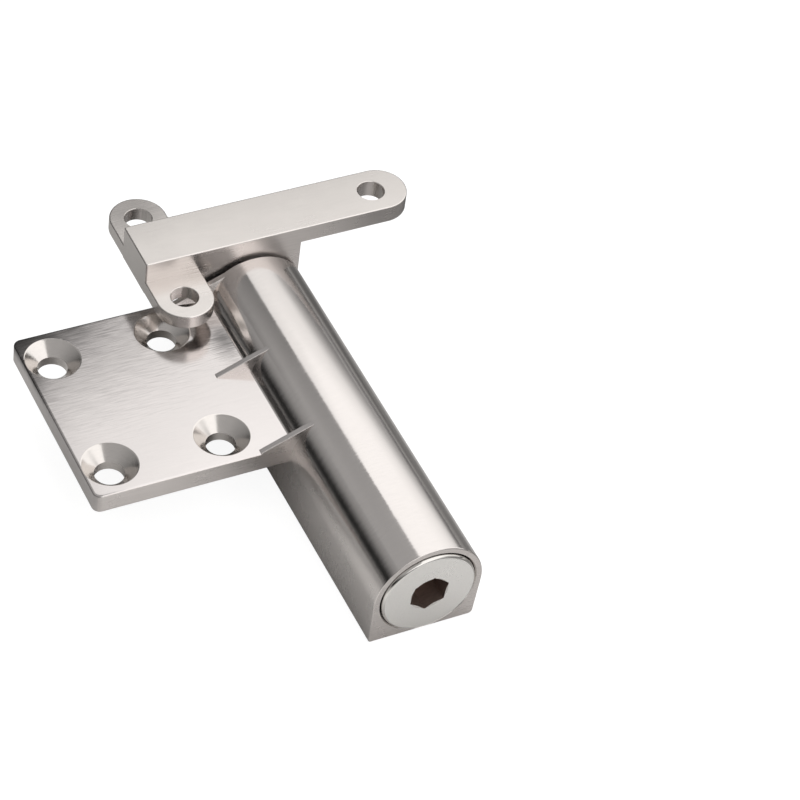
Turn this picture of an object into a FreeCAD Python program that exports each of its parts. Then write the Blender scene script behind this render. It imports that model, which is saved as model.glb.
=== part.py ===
import FreeCAD, Part
import math
import os
import Sketcher

# Concealed self-closing door hinge: a barrel with a screw-on leaf, and a swinging bracket.
# +X points across the barrel away from the leaf, +Y along the pivot towards the bracket, +Z up.
# The origin is on the barrel's flat base, under the pivot axis, half way along the barrel.

V = FreeCAD.Vector
document = FreeCAD.newDocument("concealed_hinge")
sheet = document.addObject("Spreadsheet::Sheet", "Sizes")


class Size:
    """A length or angle that knows its number and the sheet expression that gives it."""

    def __init__(self, value, text):
        self.value = value
        self.text = text

    def __add__(self, other):
        other = as_size(other)
        return Size(self.value + other.value, "(%s + %s)" % (self.text, other.text))

    def __radd__(self, other):
        return as_size(other) + self

    def __sub__(self, other):
        other = as_size(other)
        return Size(self.value - other.value, "(%s - %s)" % (self.text, other.text))

    def __rsub__(self, other):
        return as_size(other) - self

    def __mul__(self, other):
        other = as_size(other)
        return Size(self.value * other.value, "(%s * %s)" % (self.text, other.text))

    def __rmul__(self, other):
        return as_size(other) * self

    def __truediv__(self, other):
        other = as_size(other)
        return Size(self.value / other.value, "(%s / %s)" % (self.text, other.text))

    def __neg__(self):
        return Size(-self.value, "(0 - %s)" % self.text)


def as_size(number):
    """A plain number as a Size, so that both can be added."""
    if isinstance(number, Size):
        return number
    return Size(float(number), repr(float(number)))


def root(size):
    """Square root."""
    return Size(math.sqrt(size.value), "sqrt(%s)" % size.text)


def cosine(size):
    """Cosine of an angle in degrees."""
    return Size(math.cos(math.radians(size.value)), "cos(%s)" % size.text)


def sine(size):
    """Sine of an angle in degrees."""
    return Size(math.sin(math.radians(size.value)), "sin(%s)" % size.text)


# How far a raised form runs into the one that it joins, and a cut past the face that it breaks
sink = 0.5
overshoot = 1.0

# Driving dimensions: barrel
barrel_radius = 12.5
base_cut = 1.1
barrel_length = 92.5
flank_draft = 4.0
base_corner_radius = 1.0
barrel_wall = 3.0
end_wall = 6.0
mouth_bevel = 0.25
end_bevel = 0.3

# Driving dimensions: leaf and its ribs
leaf_reach = 44.5
leaf_length = 49.2
leaf_thick = 5.0
leaf_corner_radius = 1.8
leaf_edge_round = 0.3
hole_edge_margin = 6.5
hole_near_margin = 8.1
hole_far_margin = 8.0
hole_spacing_across = 25.5
screw_hole_dia = 6.6
screw_head_dia = 12.3
rib_reach = 6.6
rib_run = 11.8
rib_slope = 22.5
rib_depth = 4.0
rib_sink = 0.3
rib_foot = 2.8
root_fillet = 0.6
rib_ridge = 1.3

# Driving dimensions: bracket
end_gap = 0.8
bar_width = 13.0
bar_thick = 4.4
bar_gap = 0.4
bar_left_reach = 25.8
bar_right_reach = 33.4
bar_hole_setback = 1.9
bracket_hole_dia = 6.2
ear_drop = 4.2
ear_thick = 3.4
ear_width = 13.0
ear_overhang = 6.9
boss_inset = 0.7
boss_base_lift = 0.5
edge_bevel = 0.25

# Driving dimensions: spindle and its bearings
fit_gap = 0.05
seat_gap = 0.02
bearing_width = 4.5
tail_step = 0.4
flat_depth = 1.0
tail_recess = 0.3
bush_wall = 1.5
washer_width = 2.2
race_thick = 1.0
race_bore_gap = 0.2
ball_radius = 1.4
ball_count = 8
cage_thick = 1.2
flange_thick = 4.0
dowel_radius = 1.5
dowel_cover = 2.0
dowel_recess = 0.6
sleeve_step = 0.6
sleeve_wall = 2.2
sleeve_length = 26.0
swing_angle = 110
piston_stroke = 9.0
slot_lead_in = 26
cross_pin_radius = 1.2
cross_pin_depth = 8.5

# Driving dimensions: piston, valve, spring and guide
stem_top_gap = 1.5
piston_gap = 2.0
piston_length = 10.0
seal_width = 1.6
seal_corner = 0.4
valve_bore = 2.6
valve_depth = 7.0
oil_passage = 1.1
check_ball_radius = 1.6
check_wire = 0.45
check_turns = 2.5
retainer_thick = 1.2
rod_radius = 1.0
rod_spring_gap = 0.55
rod_entry = 4.0
spring_wire_width = 2.2
spring_wire_depth = 1.6
spring_turns = 5.5
spring_bore_gap = 0.45
plate_thick = 3.0
ring_thick = 1.0
ring_bite = 0.5
ring_opening = 4.0
ring_setback = 1.0

# Driving dimensions: adjuster plug
plug_step = 1.25
head_gap = 0.2
plug_proud = 0.6
head_depth = 4.0
plug_edge_bevel = 0.35
shank_length = 6.0
socket_flats = 8.0
socket_depth = 6.0
socket_turn = 22
socket_bevel = 0.35
needle_radius = 1.8


def driving(name, number):
    """Write one driving dimension into the sheet, with its name beside it."""
    driving.row += 1
    cell = "B%d" % driving.row
    sheet.set("A%d" % driving.row, name)
    sheet.set(cell, str(number))
    sheet.setAlias(cell, name)
    return Size(float(number), "Sizes." + name)


driving.row = 0

# The sheet holds every driving dimension, and from here on each name stands for its cell
for name, number in dict(globals()).items():
    if isinstance(number, (int, float)):
        globals()[name] = driving(name, number)

# Places that follow from them, along the pivot axis
near_end = -barrel_length / 2
far_end = barrel_length / 2
bracket_near = far_end + end_gap
bracket_far = bracket_near + bar_width
bracket_mid = bracket_near + bar_width / 2
wall_face = far_end - end_wall
flange_far = wall_face - race_thick * 2 - ball_radius * 2 - seat_gap * 2
flange_near = flange_far - flange_thick
sleeve_end = flange_near - sleeve_length
cross_pin_place = flange_near - cross_pin_depth
stem_top = flange_near - stem_top_gap
piston_top = sleeve_end - piston_gap
piston_base = piston_top - piston_length
plug_face = near_end - plug_proud
head_seat = near_end + head_depth
shank_end = head_seat + shank_length
ring_near = shank_end + ring_setback
plate_near = ring_near + ring_thick
plate_far = plate_near + plate_thick

# Places across and up
axis_height = barrel_radius - base_cut
leaf_under = axis_height
bar_lift = axis_height + barrel_radius + bar_gap
ear_lift = bar_lift - ear_drop
bore_radius = barrel_radius - barrel_wall
plug_radius = bore_radius + plug_step
boss_half_width = barrel_radius - boss_inset
journal_radius = bore_radius - bearing_width
tail_radius = journal_radius - tail_step
tail_flat = tail_radius - flat_depth
sleeve_radius = journal_radius + sleeve_step
sleeve_bore = sleeve_radius - sleeve_wall
spring_inner = bore_radius - spring_bore_gap - spring_wire_width
rod_pitch_radius = spring_inner - rod_spring_gap - rod_radius
leaf_top = leaf_under + leaf_thick
leaf_near = far_end - leaf_length
leaf_edge = -(barrel_radius + leaf_reach)
leaf_root = -(barrel_radius + bore_radius) / 2
bar_top = bar_lift + bar_thick
ear_place = -bar_left_reach + ear_width / 2
ear_near = bracket_near - ear_overhang
ear_far = bracket_far + ear_overhang
block_side = ear_place + ear_width / 2
mouth_radius = plug_radius + head_gap
bush_radius = journal_radius + fit_gap + bush_wall
running_bore = bore_radius - fit_gap * 2
race_pitch = (journal_radius + running_bore) / 2


def bind(item, path, size):
    """Tie one property of an object to the sheet."""
    item.setExpression(path, as_size(size).text)


def new_body(name):
    """An empty body named for the piece it will be."""
    body = document.addObject("PartDesign::Body", name)
    body.Label = name
    return body


def origin_plane(body, role):
    """One of a body's own base planes."""
    return [f for f in body.Origin.OriginFeatures if f.Role == role][0]


def new_sketch(body, name, role, across=0.0, up=0.0, out=0.0, turn=None, about=V(0, 0, 1)):
    """A sketch on a base plane, shifted in its own directions and turned about one of them."""
    sketch = body.newObject("Sketcher::SketchObject", name)
    sketch.AttachmentSupport = [(origin_plane(body, role), "")]
    sketch.MapMode = "FlatFace"
    shift = [as_size(across), as_size(up), as_size(out)]
    angle = as_size(0.0 if turn is None else turn)
    rotation = FreeCAD.Rotation(about, angle.value)
    sketch.AttachmentOffset = FreeCAD.Placement(V(*[s.value for s in shift]), rotation)
    for letter, size in zip("xyz", shift):
        bind(sketch, "AttachmentOffset.Base." + letter, size)
    if turn is not None:
        bind(sketch, "AttachmentOffset.Rotation.Angle", angle)
    return sketch


def place_point(sketch, edge, end, across, up):
    """Hold one point of a sketch at sheet values measured from its origin."""
    for kind, size in (("DistanceX", as_size(across)), ("DistanceY", as_size(up))):
        index = sketch.addConstraint(Sketcher.Constraint(kind, -1, 1, edge, end, size.value))
        bind(sketch, "Constraints[%d]" % index, size)


def outline(sketch, corners):
    """Close a line through corners. A corner with a centre ends an arc: (x, y, cx, cy, way)."""
    points = [(as_size(c[0]), as_size(c[1])) for c in corners]
    first = sketch.GeometryCount
    ends = []
    for i, corner in enumerate(corners):
        start = V(points[i - 1][0].value, points[i - 1][1].value, 0)
        stop = V(points[i][0].value, points[i][1].value, 0)
        if len(corner) == 2:
            sketch.addGeometry(Part.LineSegment(start, stop), False)
            ends.append((1, 2))
            continue
        centre = V(as_size(corner[2]).value, as_size(corner[3]).value, 0)
        circle = Part.Circle(centre, V(0, 0, 1), (start - centre).Length)
        tail, tip = (start, stop) if corner[4] > 0 else (stop, start)
        sweep = [math.atan2(p.y - centre.y, p.x - centre.x) for p in (tail, tip)]
        if sweep[1] <= sweep[0]:
            sweep[1] += 2 * math.pi
        sketch.addGeometry(Part.ArcOfCircle(circle, sweep[0], sweep[1]), False)
        ends.append((1, 2) if corner[4] > 0 else (2, 1))
    count = len(corners)
    for i, corner in enumerate(corners):
        after = (i + 1) % count
        joint = (first + i, ends[i][1], first + after, ends[after][0])
        sketch.addConstraint(Sketcher.Constraint("Coincident", *joint))
        place_point(sketch, first + i, ends[i][1], points[i][0], points[i][1])
        if len(corner) == 5:
            start, stop = points[i - 1], points[i]
            upright = abs(stop[1].value - start[1].value) > abs(stop[0].value - start[0].value)
            kind, size = ("DistanceX", corner[2]) if upright else ("DistanceY", corner[3])
            size = as_size(size)
            held = Sketcher.Constraint(kind, -1, 1, first + i, 3, size.value)
            bind(sketch, "Constraints[%d]" % sketch.addConstraint(held), size)


def ring(sketch, across, up, radius):
    """A full circle at sheet values."""
    across, up, radius = as_size(across), as_size(up), as_size(radius)
    centre = V(across.value, up.value, 0)
    edge = sketch.addGeometry(Part.Circle(centre, V(0, 0, 1), radius.value), False)
    place_point(sketch, edge, 3, across, up)
    index = sketch.addConstraint(Sketcher.Constraint("Radius", edge, radius.value))
    bind(sketch, "Constraints[%d]" % index, radius)


def pad(body, name, sketch, length, backwards=False, both=False):
    """Raise a sketch by a length, away from its plane, to the other side or to both."""
    feature = body.newObject("PartDesign::Pad", name)
    feature.Profile = sketch
    bind(feature, "Length", length)
    feature.Reversed = backwards
    if both:
        feature.SideType = "Symmetric"
    document.recompute()
    return feature


def pocket(body, name, sketch, length, backwards=False, both=False):
    """Cut a sketch into a body by a length, and make sure that it did cut."""
    before = body.Shape.Volume
    feature = body.newObject("PartDesign::Pocket", name)
    feature.Profile = sketch
    bind(feature, "Length", length)
    feature.Reversed = backwards
    if both:
        feature.SideType = "Symmetric"
    document.recompute()
    if body.Shape.Volume >= before:
        raise ValueError(name + " cuts nothing")
    return feature


def axis_sketch(body, name):
    """A sketch through the pivot: across is Y along the axis, up is the radius."""
    return new_sketch(body, name, "YZ_Plane", 0.0, axis_height, 0.0)


def turned(name, profile):
    """A piece turned about the pivot axis from (place, radius) corners."""
    body = new_body(name)
    sketch = axis_sketch(body, name + "_profile")
    outline(sketch, profile)
    feature = body.newObject("PartDesign::Revolution", name + "_turned")
    feature.Profile = sketch
    feature.ReferenceAxis = (sketch, ["H_Axis"])
    feature.Angle = 360
    document.recompute()
    return body


def tube(name, near, far, inner, outer):
    """A plain turned ring between two places on the pivot axis."""
    return turned(name, [(near, inner), (near, outer), (far, outer), (far, inner)])


def bevel_edges(body, name, size, wanted, kind="PartDesign::Chamfer", field="Size"):
    """Bevel or round the edges that a test picks out of the body as it stands."""
    tip = body.Tip
    names = ["Edge%d" % (i + 1) for i, edge in enumerate(tip.Shape.Edges) if wanted(edge)]
    if not names:
        raise ValueError(name + " finds no edge")
    feature = body.newObject(kind, name)
    feature.Base = (tip, names)
    bind(feature, field, size)
    document.recompute()
    return feature


def at(value, size, near=0.01):
    """Whether a coordinate lies at a sheet value."""
    return abs(value - as_size(size).value) < near


def upright_edge(edge, x, y):
    """Whether an edge stands straight up at x and y."""
    box = edge.BoundBox
    thin = box.XLength < 0.01 and box.YLength < 0.01
    return thin and at(box.XMin, x) and at(box.YMin, y)


# Barrel and leaf: one casting, with a round top, a flat base and a drafted free flank
casting = new_body("barrel_leaf")
section = new_sketch(casting, "barrel_section", "XZ_Plane")
flank_x = barrel_radius * cosine(flank_draft)
flank_z = axis_height - barrel_radius * sine(flank_draft)
base_x = flank_x - flank_z * sine(flank_draft) / cosine(flank_draft)
outline(section, [
    (-barrel_radius, 0.0),
    (-barrel_radius, axis_height),
    (flank_x, flank_z, 0.0, axis_height, -1),
    (base_x, 0.0),
])
pad(casting, "barrel_block", section, barrel_length, both=True)


def base_corner(edge):
    """The long lower edge of the drafted flank."""
    box = edge.BoundBox
    return at(box.XMin, base_x) and at(box.XMax, base_x) and at(box.ZMax, 0.0)


bevel_edges(casting, "base_corner", base_corner_radius, base_corner, "PartDesign::Fillet", "Radius")


def end_rim(edge):
    """The near end's outline, apart from the line that it rests on."""
    box = edge.BoundBox
    return at(box.YMin, near_end) and at(box.YMax, near_end) and not at(box.ZMax, 0.0)


bevel_edges(casting, "end_rim", end_bevel, end_rim)

# The leaf stands out of the flat wall, level with the pivot axis, and ends flush with the barrel
leaf_outline = new_sketch(casting, "leaf_outline", "XY_Plane", out=leaf_under)
outline(leaf_outline, [
    (leaf_root, leaf_near),
    (leaf_root, far_end),
    (leaf_edge, far_end),
    (leaf_edge, leaf_near),
])
pad(casting, "leaf_plate", leaf_outline, leaf_thick)


def leaf_corner(edge):
    """The two upright outer corners of the leaf."""
    return upright_edge(edge, leaf_edge, leaf_near) or upright_edge(edge, leaf_edge, far_end)


bevel_edges(casting, "leaf_corners", leaf_corner_radius, leaf_corner, "PartDesign::Fillet", "Radius")

root_edge_x = -root(barrel_radius * barrel_radius
                    - (leaf_top - axis_height) * (leaf_top - axis_height))


def root_edge(edge):
    """The line along which the leaf's top meets the barrel."""
    box = edge.BoundBox
    level = at(box.ZMin, leaf_top) and at(box.ZMax, leaf_top)
    return level and at(box.XMin, root_edge_x) and at(box.XMax, root_edge_x)


bevel_edges(casting, "root_fillet", root_fillet, root_edge, "PartDesign::Fillet", "Radius")

# Three ribs climb from the leaf's top onto the barrel; the outer two are flush with the leaf's ends
leaf_middle = (leaf_near + far_end) / 2
rib_tip_x = -(barrel_radius + rib_reach)
ribs = [
    ("near_rib", leaf_near, leaf_near + rib_foot, leaf_near, leaf_near + rib_ridge),
    ("middle_rib", leaf_middle - rib_foot / 2, leaf_middle + rib_foot / 2,
     leaf_middle - rib_ridge / 2, leaf_middle + rib_ridge / 2),
    ("far_rib", far_end - rib_foot, far_end, far_end - rib_ridge, far_end),
]
for rib_name, foot_near, foot_far, ridge_near, ridge_far in ribs:
    section = new_sketch(casting, rib_name + "_section", "YZ_Plane", up=leaf_top - rib_sink,
                         out=rib_tip_x, turn=-rib_slope, about=V(1, 0, 0))
    outline(section, [
        (ridge_near, rib_sink),
        (foot_near, -rib_depth),
        (foot_far, -rib_depth),
        (ridge_far, rib_sink),
    ])
    pad(casting, rib_name, section, rib_run / cosine(rib_slope))

# The bore steps down from the plug's seat to the oil cylinder and the bush in the end wall
bore_profile = axis_sketch(casting, "bore_profile")
ring_groove = bore_radius + ring_bite
outline(bore_profile, [
    (near_end, 0.0),
    (near_end, mouth_radius + mouth_bevel),
    (near_end + mouth_bevel, mouth_radius),
    (head_seat, mouth_radius),
    (head_seat, bore_radius),
    (ring_near, bore_radius),
    (ring_near, ring_groove),
    (plate_near, ring_groove),
    (plate_near, bore_radius),
    (wall_face, bore_radius),
    (wall_face, bush_radius),
    (far_end, bush_radius),
    (far_end, 0.0),
])
bore = casting.newObject("PartDesign::Groove", "bore")
bore.Profile = bore_profile
bore.ReferenceAxis = (bore_profile, ["H_Axis"])
bore.Angle = 360
document.recompute()

# Four countersunk screw holes open upwards in the leaf
hole_left = leaf_edge + hole_edge_margin
hole_near = leaf_near + hole_near_margin
hole_far = far_end - hole_far_margin
screw_places = new_sketch(casting, "screw_places", "XY_Plane", out=leaf_top)
for across in (hole_left, hole_left + hole_spacing_across):
    for along in (hole_near, hole_far):
        ring(screw_places, across, along, screw_hole_dia / 2)
document.recompute()


def drilled(body, name, places, hole_dia, mouth_dia, depth):
    """Round holes at the circles of a sketch, with a 90 degree countersink."""
    before = body.Shape.Volume
    hole = body.newObject("PartDesign::Hole", name)
    hole.Profile = places
    hole.DepthType = "Dimension"
    hole.DrillPoint = "Flat"
    hole.Threaded = False
    hole.HoleCutType = "Countersink"
    hole.HoleCutCustomValues = True
    bind(hole, "Diameter", hole_dia)
    bind(hole, "HoleCutDiameter", mouth_dia)
    hole.HoleCutCountersinkAngle = 90
    bind(hole, "Depth", depth)
    document.recompute()
    if body.Shape.Volume >= before:
        raise ValueError(name + " cuts nothing")
    return hole


drilled(casting, "screw_holes", screw_places, screw_hole_dia, screw_head_dia, leaf_thick + overshoot)


def leaf_rim(edge):
    """The upper outline of the leaf, apart from its root."""
    box = edge.BoundBox
    level = at(box.ZMin, leaf_top) and at(box.ZMax, leaf_top)
    outer = box.XMin < leaf_edge.value + 2.0
    near = at(box.YMin, leaf_near) and at(box.YMax, leaf_near)
    far = at(box.YMin, far_end) and at(box.YMax, far_end)
    holes = edge.isClosed()
    return level and not holes and (outer or near or far) and box.XMax < -barrel_radius.value


bevel_edges(casting, "leaf_rim", leaf_edge_round, leaf_rim)

# Bracket: a bar over the barrel's end, two lower ears, and a boss that hangs down to the pivot
bracket = new_body("bracket")
bar_outline = new_sketch(bracket, "bar_outline", "XY_Plane", out=bar_lift)
outline(bar_outline, [
    (-bar_left_reach, bracket_near),
    (bar_right_reach, bracket_near),
    (bar_right_reach, bracket_far, bar_right_reach, bracket_mid, 1),
    (-bar_left_reach, bracket_far),
])
pad(bracket, "bar", bar_outline, bar_thick)

block_outline = new_sketch(bracket, "block_outline", "XY_Plane", out=ear_lift)
outline(block_outline, [
    (-bar_left_reach, bracket_near),
    (block_side, bracket_near),
    (block_side, bracket_far),
    (-bar_left_reach, bracket_far),
])
pad(bracket, "block", block_outline, bar_lift - ear_lift + sink)

boss_outline = new_sketch(bracket, "boss_outline", "XZ_Plane", out=-bracket_near)
boss_flat = root(boss_half_width * boss_half_width
                 - (axis_height - boss_base_lift) * (axis_height - boss_base_lift))
outline(boss_outline, [
    (-boss_half_width, bar_lift + sink),
    (-boss_half_width, axis_height),
    (-boss_flat, boss_base_lift, 0.0, axis_height, 1),
    (boss_flat, boss_base_lift),
    (boss_half_width, axis_height, 0.0, axis_height, 1),
    (boss_half_width, bar_lift + sink),
])
pad(bracket, "boss", boss_outline, bar_width, backwards=True)

ear_outline = new_sketch(bracket, "ear_outline", "XY_Plane", out=ear_lift)
outline(ear_outline, [
    (ear_place - ear_width / 2, ear_near),
    (ear_place + ear_width / 2, ear_near, ear_place, ear_near, 1),
    (ear_place + ear_width / 2, ear_far),
    (ear_place - ear_width / 2, ear_far, ear_place, ear_far, 1),
])
pad(bracket, "ears", ear_outline, ear_thick)

ear_places = new_sketch(bracket, "ear_places", "XY_Plane", out=ear_lift + ear_thick)
ring(ear_places, ear_place, ear_near, bracket_hole_dia / 2)
ring(ear_places, ear_place, ear_far, bracket_hole_dia / 2)
document.recompute()
hole_mouth = bracket_hole_dia + edge_bevel * 2
drilled(bracket, "ear_holes", ear_places, bracket_hole_dia, hole_mouth, ear_thick + overshoot)
bar_place = new_sketch(bracket, "bar_place", "XY_Plane", out=bar_top)
ring(bar_place, bar_right_reach - bar_hole_setback, bracket_mid, bracket_hole_dia / 2)
document.recompute()
drilled(bracket, "bar_hole", bar_place, bracket_hole_dia, hole_mouth, bar_thick + overshoot)

# The boss is broached through with two flats, which carry the spindle's tail
tail_bore = tail_radius + seat_gap
tail_half = tail_flat + seat_gap
tail_chord = root(tail_bore * tail_bore - tail_half * tail_half)
broach = new_sketch(bracket, "broach", "XZ_Plane", up=axis_height, out=-bracket_near)
outline(broach, [
    (-tail_half, -tail_chord),
    (tail_half, -tail_chord, 0.0, 0.0, 1),
    (tail_half, tail_chord),
    (-tail_half, tail_chord, 0.0, 0.0, 1),
])
pocket(bracket, "broached_hole", broach, bar_width, backwards=False)

# A dowel hole rises from the boss's flat base through the spindle's tail
dowel_top = axis_height + tail_radius + dowel_cover
dowel_place = new_sketch(bracket, "dowel_place", "XY_Plane", out=boss_base_lift)
ring(dowel_place, 0.0, bracket_mid, dowel_radius + seat_gap)
pocket(bracket, "dowel_hole", dowel_place, dowel_top - boss_base_lift, backwards=True)


def bar_rim(edge):
    """The upper outline of the bar."""
    box = edge.BoundBox
    return at(box.ZMin, bar_top) and at(box.ZMax, bar_top) and not edge.isClosed()


bevel_edges(bracket, "bar_rim", edge_bevel, bar_rim)


def ear_rim(edge):
    """The rounded upper outlines of the two ears."""
    box = edge.BoundBox
    top = ear_lift + ear_thick
    level = at(box.ZMin, top) and at(box.ZMax, top) and not edge.isClosed()
    near = box.YMax <= bracket_near.value + 0.01 and box.YMin < bracket_near.value - 0.1
    far = box.YMin >= bracket_far.value - 0.01 and box.YMax > bracket_far.value + 0.1
    return level and (near or far)


bevel_edges(bracket, "ear_rim", edge_bevel, ear_rim)

# Bearing bush pressed into the barrel's end wall, and a nylon washer in the gap before the boss
tube("bearing_bush", wall_face, far_end, journal_radius + fit_gap, bush_radius - seat_gap)
tube("face_washer", far_end + seat_gap, bracket_near - seat_gap,
     journal_radius + fit_gap, journal_radius + fit_gap + washer_width)

# Thrust bearing between the end wall and the spindle's flange
race_outer = bore_radius - race_bore_gap
race_inner = journal_radius + race_bore_gap
ball_middle = wall_face - race_thick - seat_gap - ball_radius
tube("fixed_race", wall_face - race_thick, wall_face, race_inner, race_outer)
tube("turning_race", flange_far, flange_far + race_thick, journal_radius + seat_gap,
     race_outer - race_bore_gap)

cage = tube("ball_cage", ball_middle - cage_thick / 2, ball_middle + cage_thick / 2,
            race_inner, race_outer)
cage_hole = new_sketch(cage, "cage_hole", "XZ_Plane", up=axis_height,
                       out=-(ball_middle - cage_thick / 2))
ring(cage_hole, race_pitch, 0.0, ball_radius + fit_gap)
first_hole = pocket(cage, "first_hole", cage_hole, cage_thick)
cage_holes = cage.newObject("PartDesign::PolarPattern", "cage_holes")
cage_holes.Originals = [first_hole]
cage_holes.Axis = (cage_hole, ["N_Axis"])
cage_holes.Angle = 360
bind(cage_holes, "Occurrences", ball_count)
cage.Tip = cage_holes
document.recompute()

balls = []
for turn in range(int(ball_count.value)):
    ball = document.addObject("Part::Sphere", "ball_%02d" % turn)
    bind(ball, "Radius", ball_radius)
    step = as_size(360.0 * turn) / ball_count
    bind(ball, "Placement.Base.x", race_pitch * cosine(step))
    bind(ball, "Placement.Base.y", ball_middle)
    bind(ball, "Placement.Base.z", axis_height + race_pitch * sine(step))
    balls.append(ball)
thrust_balls = document.addObject("Part::Compound", "thrust_balls")
thrust_balls.Label = "thrust_balls"
thrust_balls.Links = balls


def seal_ring(name, place, groove_floor):
    """A rubber ring with blunted corners that lies on its groove's floor."""
    half = seal_width / 2
    inner = groove_floor + seat_gap
    outer = inner + seal_width
    turned(name, [
        (place - half, inner + seal_corner),
        (place - half, outer - seal_corner),
        (place - half + seal_corner, outer),
        (place + half - seal_corner, outer),
        (place + half, outer - seal_corner),
        (place + half, inner + seal_corner),
        (place + half - seal_corner, inner),
        (place - half + seal_corner, inner),
    ])


# Spindle: tail in the boss, journal in the bush, sealed flange, and a sleeve with two cam slots
groove_floor = running_bore - seal_width
seal_half = seal_width / 2 + fit_gap
seal_place = (flange_near + flange_far) / 2
spindle = turned("spindle", [
    (stem_top + stem_top_gap / 2, 0.0),
    (stem_top + stem_top_gap / 2, sleeve_bore),
    (sleeve_end, sleeve_bore),
    (sleeve_end, sleeve_radius),
    (flange_near, sleeve_radius),
    (flange_near, running_bore),
    (seal_place - seal_half, running_bore),
    (seal_place - seal_half, groove_floor),
    (seal_place + seal_half, groove_floor),
    (seal_place + seal_half, running_bore),
    (flange_far, running_bore),
    (flange_far, journal_radius),
    (bracket_near, journal_radius),
    (bracket_near, tail_radius),
    (bracket_far - tail_recess, tail_radius),
    (bracket_far - tail_recess, 0.0),
])
seal_ring("spindle_seal", seal_place, groove_floor)

flat_cut = new_sketch(spindle, "flat_cut", "XZ_Plane", up=axis_height, out=-bracket_far)
cut_out = tail_radius + overshoot
for side in (1.0, -1.0):
    outline(flat_cut, [
        (side * tail_flat, -cut_out),
        (side * cut_out, -cut_out),
        (side * cut_out, cut_out),
        (side * tail_flat, cut_out),
    ])
pocket(spindle, "tail_flats", flat_cut, bar_width, backwards=True)

dowel_cut = new_sketch(spindle, "dowel_cut", "XY_Plane", out=axis_height)
ring(dowel_cut, 0.0, bracket_mid, dowel_radius + seat_gap)
pocket(spindle, "tail_cross_hole", dowel_cut, (tail_radius + overshoot) * 2, both=True)

# Each slot climbs like a coarse thread, so that the cross pin pushes the piston as the door opens
lead = piston_stroke * 360.0 / swing_angle
climb = lead / (2 * math.pi)
slot_half = cross_pin_radius * root(1.0 + climb * climb / (sleeve_bore * sleeve_bore)) + fit_gap * 3
slot_start = cross_pin_place + piston_stroke * slot_lead_in / swing_angle
slot_section = new_sketch(spindle, "slot_section", "XY_Plane", out=axis_height,
                          turn=slot_lead_in, about=V(0, 1, 0))
outline(slot_section, [
    (sleeve_bore - sink, slot_start - slot_half),
    (sleeve_radius + sink, slot_start - slot_half),
    (sleeve_radius + sink, slot_start + slot_half),
    (sleeve_bore - sink, slot_start + slot_half),
])
slot = spindle.newObject("PartDesign::SubtractiveHelix", "cam_slot")
slot.Profile = slot_section
slot.ReferenceAxis = (slot_section, ["V_Axis"])
slot.Mode = "pitch-height-angle"
bind(slot, "Pitch", lead)
bind(slot, "Height", piston_stroke * (swing_angle + slot_lead_in * 2) / swing_angle)
slot.LeftHanded = False
slot.Reversed = True
document.recompute()
slots = spindle.newObject("PartDesign::PolarPattern", "cam_slots")
slots.Originals = [slot]
slots.Axis = (slot_section, ["V_Axis"])
slots.Angle = 360
slots.Occurrences = 2
spindle.Tip = slots
document.recompute()


def round_bar(name, radius, length, x, y, z, way):
    """A plain cylinder from a point, along X, Y or Z."""
    bar = document.addObject("Part::Cylinder", name)
    bar.Label = name
    bind(bar, "Radius", radius)
    bind(bar, "Height", length)
    turns = {"x": FreeCAD.Rotation(V(0, 1, 0), 90), "y": FreeCAD.Rotation(V(1, 0, 0), -90),
             "z": FreeCAD.Rotation()}
    bar.Placement = FreeCAD.Placement(V(0, 0, 0), turns[way])
    for letter, size in zip("xyz", (x, y, z)):
        bind(bar, "Placement.Base." + letter, size)
    return bar


round_bar("spindle_dowel", dowel_radius, dowel_top - boss_base_lift - dowel_recess - fit_gap,
          0.0, bracket_mid, boss_base_lift + dowel_recess, "z")

# Piston: a sealed head, a stem inside the spindle's sleeve, and a check valve in its face
piston_seal_place = (piston_top + piston_base) / 2
stem_radius = sleeve_bore - fit_gap * 2
valve_seat = piston_base + valve_depth
piston = turned("piston", [
    (piston_base, valve_bore),
    (piston_base, running_bore),
    (piston_seal_place - seal_half, running_bore),
    (piston_seal_place - seal_half, groove_floor),
    (piston_seal_place + seal_half, groove_floor),
    (piston_seal_place + seal_half, running_bore),
    (piston_top, running_bore),
    (piston_top, stem_radius),
    (stem_top, stem_radius),
    (stem_top, oil_passage),
    (valve_seat, oil_passage),
    (valve_seat, valve_bore),
])
seal_ring("piston_seal", piston_seal_place, groove_floor)

guide_holes = new_sketch(piston, "guide_holes", "XZ_Plane", up=axis_height, out=-piston_base)
ring(guide_holes, rod_pitch_radius, 0.0, rod_radius + fit_gap)
ring(guide_holes, -rod_pitch_radius, 0.0, rod_radius + fit_gap)
pocket(piston, "guide_holes_through", guide_holes, piston_length)
pin_hole = new_sketch(piston, "pin_hole", "YZ_Plane", up=axis_height)
ring(pin_hole, cross_pin_place, 0.0, cross_pin_radius + seat_gap)
pocket(piston, "pin_hole_through", pin_hole, (stem_radius + overshoot) * 2, both=True)

pin_reach = sleeve_radius - fit_gap * 4
round_bar("cross_pin", cross_pin_radius, pin_reach * 2, -pin_reach, cross_pin_place, axis_height, "x")

# The check valve lets oil through the stem as the door opens and shuts as it closes
check_ball = document.addObject("Part::Sphere", "check_ball")
check_ball.Label = "check_ball"
bind(check_ball, "Radius", check_ball_radius)
ball_sink = root(check_ball_radius * check_ball_radius - oil_passage * oil_passage)
bind(check_ball, "Placement.Base.y", valve_seat - ball_sink - seat_gap)
bind(check_ball, "Placement.Base.z", axis_height)
tube("valve_retainer", piston_base, piston_base + retainer_thick, oil_passage,
     valve_bore - seat_gap)


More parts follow.
